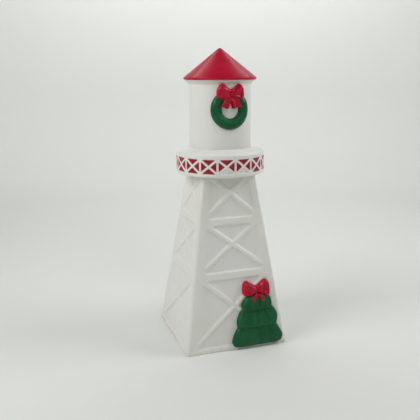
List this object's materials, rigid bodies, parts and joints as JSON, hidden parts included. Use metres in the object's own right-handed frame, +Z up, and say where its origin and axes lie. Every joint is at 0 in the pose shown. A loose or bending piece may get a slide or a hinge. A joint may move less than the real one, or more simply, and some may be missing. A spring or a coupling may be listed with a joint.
{
  "type": "garden lighthouse ornament",
  "caption": "Lighted yard ornament shaped as a square lattice-framed lighthouse with round gallery, drum, cone roof, wreath and tree, and a pull-out lamp kit.",
  "frame": {"origin": "middle of the square foot, on the ground", "axes": "+Z up the tower's axis, -Y out of the face with the wreath and the tree, +X to the viewer's right of it"},
  "size_m": [0.2212, 0.231, 0.61],
  "materials": {
    "white_shell": "satin white polyethylene, slightly translucent",
    "red_paint": "satin crimson paint on plastic",
    "green_paint": "satin dark green paint on plastic",
    "black_plastic": "black phenolic",
    "black_rubber": "soft black bushing",
    "brass": "stamped brass",
    "steel": "zinc plated steel",
    "solder": "dull solder",
    "lamp_glass": "clear thin glass"
  },
  "bodies": {
    "lighthouse": {"tower": "white_shell", "gallery": "white_shell", "lantern_drum": "white_shell", "roof": "red_paint", "wreath": "green_paint", "wreath_bow": "red_paint", "tree": "green_paint", "tree_bow": "red_paint"},
    "lamp_kit": {"lamp_plate": "white_shell", "lampholder_body": "black_plastic", "lampholder_shell": "brass", "centre_contact": "brass", "contact_rivets": "brass", "lampholder_screws": "steel", "cord_gland": "black_rubber"},
    "bulb": {"bulb_tip": "solder", "bulb_insulator": "black_plastic", "bulb_base": "brass", "bulb_glass": "lamp_glass", "bulb_stem": "lamp_glass", "bulb_leads": "steel", "bulb_filament": "steel"}
  },
  "joints": [
    {"name": "lamp_kit_pull", "type": "slide", "parent": "lighthouse", "child": "lamp_kit", "axis": [0, 1, 0], "range_m": [0, 0.1]},
    {"name": "bulb_unscrew", "type": "slide", "parent": "lamp_kit", "child": "bulb", "axis": [0, -1, 0], "range_m": [0, 0.018]}
  ]
}
